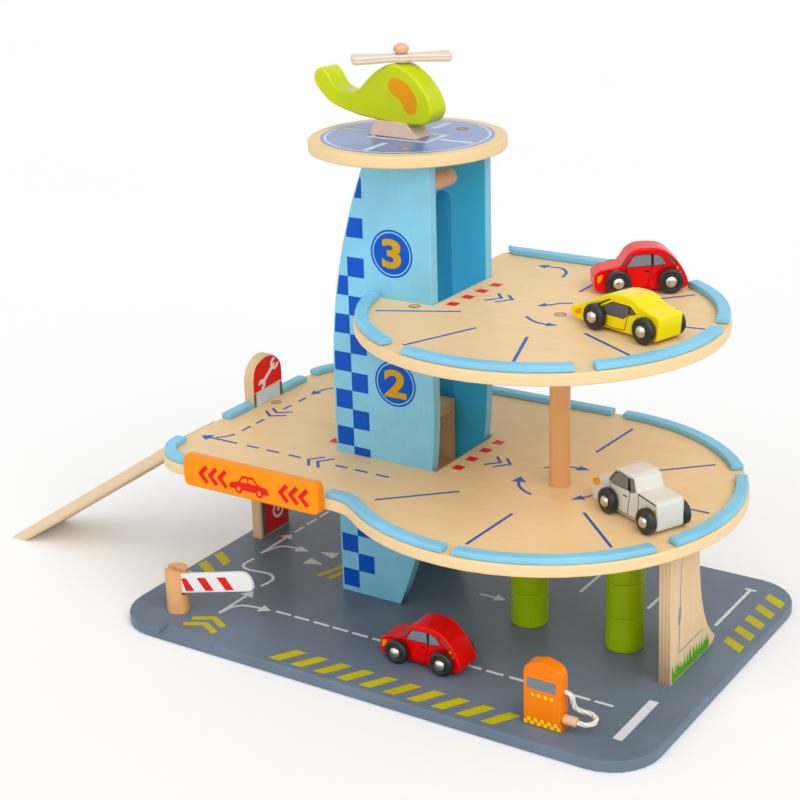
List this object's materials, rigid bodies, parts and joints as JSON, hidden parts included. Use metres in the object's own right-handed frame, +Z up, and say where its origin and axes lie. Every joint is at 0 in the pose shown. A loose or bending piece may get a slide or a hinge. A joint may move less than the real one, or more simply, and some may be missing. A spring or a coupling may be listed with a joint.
{
  "type": "toy parking garage with lift",
  "caption": "Wooden toy parking garage with round decks, a hand-moved lift in a tower, helipad, barrier, ramp, petrol pump, cars and a helicopter.",
  "frame": {"origin": "centre of the base board's underside, on the surface that the garage stands on", "axes": "+X along the front edge to the right, +Y from the front edge into the depth, +Z up"},
  "size_m": [0.6363, 0.305, 0.4358],
  "materials": {
    "wood_grey": "satin grey paint on wood fibre board",
    "wood_pine": "clear lacquered pale board",
    "plywood": "sanded birch plywood",
    "dowel_wood": "sanded beech dowel",
    "blue_paint": "satin light blue paint on wood",
    "green_paint": "satin green paint on wood",
    "lime_paint": "gloss lime paint on wood",
    "orange_paint": "satin orange paint on wood",
    "white_paint": "satin white paint on wood",
    "red_paint": "gloss red paint on wood",
    "yellow_paint": "gloss yellow paint on wood",
    "cream_paint": "gloss cream paint on wood",
    "black_plastic": "moulded black plastic",
    "steel": "plain steel",
    "cotton_rope": "twisted cotton cord"
  },
  "bodies": {
    "root": {"base_board": "wood_grey", "tower_panel_front": "blue_paint", "tower_panel_back": "blue_paint", "mid_deck": "wood_pine", "top_deck": "wood_pine", "helipad": "wood_pine", "deck_post": "dowel_wood", "right_leg": "plywood", "sign_leg": "plywood", "entry_sign": "orange_paint", "column_left": "green_paint", "column_right": "green_paint", "rail_mid_entry": "blue_paint", "rail_mid_left_front": "blue_paint", "rail_mid_left_back": "blue_paint", "rail_mid_back": "blue_paint", "rail_mid_back_right": "blue_paint", "rail_mid_right": "blue_paint", "rail_mid_front": "blue_paint", "rail_mid_bay": "blue_paint", "rail_top_left": "blue_paint", "rail_top_front": "blue_paint", "rail_top_front_right": "blue_paint", "rail_top_right": "blue_paint", "rail_top_back": "blue_paint", "barrier_post": "dowel_wood", "barrier_pin": "steel", "pump_body": "orange_paint", "pump_hose": "cotton_rope", "pump_nozzle": "dowel_wood", "lift_stop_dowel": "dowel_wood", "block_tower": "wood_pine", "block_sign_leg": "wood_pine", "screw_helipad_front": "steel", "screw_helipad_back": "steel", "screw_top_deck_tower": "steel", "screw_top_deck_post": "steel", "screw_mid_deck_sign_leg": "steel"},
    "lift_cabin": {"lift_floor": "plywood", "lift_roof": "plywood", "lift_wall_front": "plywood", "lift_wall_back": "plywood"},
    "barrier": {"barrier_arm": "white_paint"},
    "helicopter": {"heli_body": "lime_paint", "heli_foot": "plywood", "heli_rotor_pin": "dowel_wood"},
    "rotor": {"heli_rotor": "plywood"},
    "ramp_plank": {"ramp": "plywood"},
    "red_car_low": {"red_car_low_body": "red_paint"},
    "red_car_low_front_wheelset": {"red_car_low_front_wheels": "black_plastic"},
    "red_car_low_rear_wheelset": {"red_car_low_rear_wheels": "black_plastic"},
    "red_car_high": {"red_car_high_body": "red_paint"},
    "red_car_high_front_wheelset": {"red_car_high_front_wheels": "black_plastic"},
    "red_car_high_rear_wheelset": {"red_car_high_rear_wheels": "black_plastic"},
    "yellow_car": {"yellow_car_body": "yellow_paint"},
    "yellow_car_front_wheelset": {"yellow_car_front_wheels": "black_plastic"},
    "yellow_car_rear_wheelset": {"yellow_car_rear_wheels": "black_plastic"},
    "pickup_car": {"pickup_car_body": "cream_paint"},
    "pickup_car_front_wheelset": {"pickup_car_front_wheels": "black_plastic"},
    "pickup_car_rear_wheelset": {"pickup_car_rear_wheels": "black_plastic"}
  },
  "joints": [
    {"name": "lift_slide", "type": "slide", "parent": "root", "child": "lift_cabin", "axis": [0, 0, 1], "range_m": [-0.0872, 0.1729]},
    {"name": "barrier_hinge", "type": "hinge", "parent": "root", "child": "barrier", "pos_m": [-0.1825, -0.121, 0.0325], "axis": [0, -1, 0], "range_deg": [-14.7, 75.3]},
    {"name": "helicopter_lift_off", "type": "slide", "parent": "root", "child": "helicopter", "axis": [0, 0, 1], "range_m": [0, 0.08]},
    {"name": "rotor_spin", "type": "hinge", "parent": "helicopter", "child": "rotor", "pos_m": [-0.0497, 0.0153, 0.4225], "axis": [0, 0, 1], "continuous": true},
    {"name": "ramp_pull_off", "type": "slide", "parent": "root", "child": "ramp_plank", "axis": [-1, 0, 0], "range_m": [0, 0.03]},
    {"name": "red_car_low_roll", "type": "slide", "parent": "root", "child": "red_car_low", "axis": [-1, 0, 0], "range_m": [-0.05, 0.06]},
    {"name": "red_car_low_front_spin", "type": "hinge", "parent": "red_car_low", "child": "red_car_low_front_wheelset", "pos_m": [0.0118, -0.0919, 0.01855], "axis": [0, -1, 0], "continuous": true},
    {"name": "red_car_low_rear_spin", "type": "hinge", "parent": "red_car_low", "child": "red_car_low_rear_wheelset", "pos_m": [0.0498, -0.0919, 0.01855], "axis": [0, -1, 0], "continuous": true},
    {"name": "red_car_high_roll", "type": "slide", "parent": "root", "child": "red_car_high", "axis": [-0.8241, -0.5664, 0], "range_m": [0, 0.04]},
    {"name": "red_car_high_front_spin", "type": "hinge", "parent": "red_car_high", "child": "red_car_high_front_wheelset", "pos_m": [0.09604, 0.06984, 0.26605], "axis": [0.5664, -0.8241, 0], "continuous": true},
    {"name": "red_car_high_rear_spin", "type": "hinge", "parent": "red_car_high", "child": "red_car_high_rear_wheelset", "pos_m": [0.12736, 0.09136, 0.26605], "axis": [0.5664, -0.8241, 0], "continuous": true},
    {"name": "yellow_car_roll", "type": "slide", "parent": "root", "child": "yellow_car", "axis": [-0.9511, 0.309, 0], "range_m": [0, 0.03]},
    {"name": "yellow_car_front_spin", "type": "hinge", "parent": "yellow_car", "child": "yellow_car_front_wheelset", "pos_m": [0.13056, -0.0086, 0.26605], "axis": [-0.309, -0.9511, 0], "continuous": true},
    {"name": "yellow_car_rear_spin", "type": "hinge", "parent": "yellow_car", "child": "yellow_car_rear_wheelset", "pos_m": [0.17364, -0.0226, 0.26605], "axis": [-0.309, -0.9511, 0], "continuous": true},
    {"name": "pickup_car_roll", "type": "slide", "parent": "root", "child": "pickup_car", "axis": [-0.891, 0.454, 0], "range_m": [0, 0.02]},
    {"name": "pickup_car_front_spin", "type": "hinge", "parent": "pickup_car", "child": "pickup_car_front_wheelset", "pos_m": [0.1492, -0.01872, 0.13695], "axis": [-0.454, -0.891, 0], "continuous": true},
    {"name": "pickup_car_rear_spin", "type": "hinge", "parent": "pickup_car", "child": "pickup_car_rear_wheelset", "pos_m": [0.1876, -0.03828, 0.13695], "axis": [-0.454, -0.891, 0], "continuous": true}
  ]
}
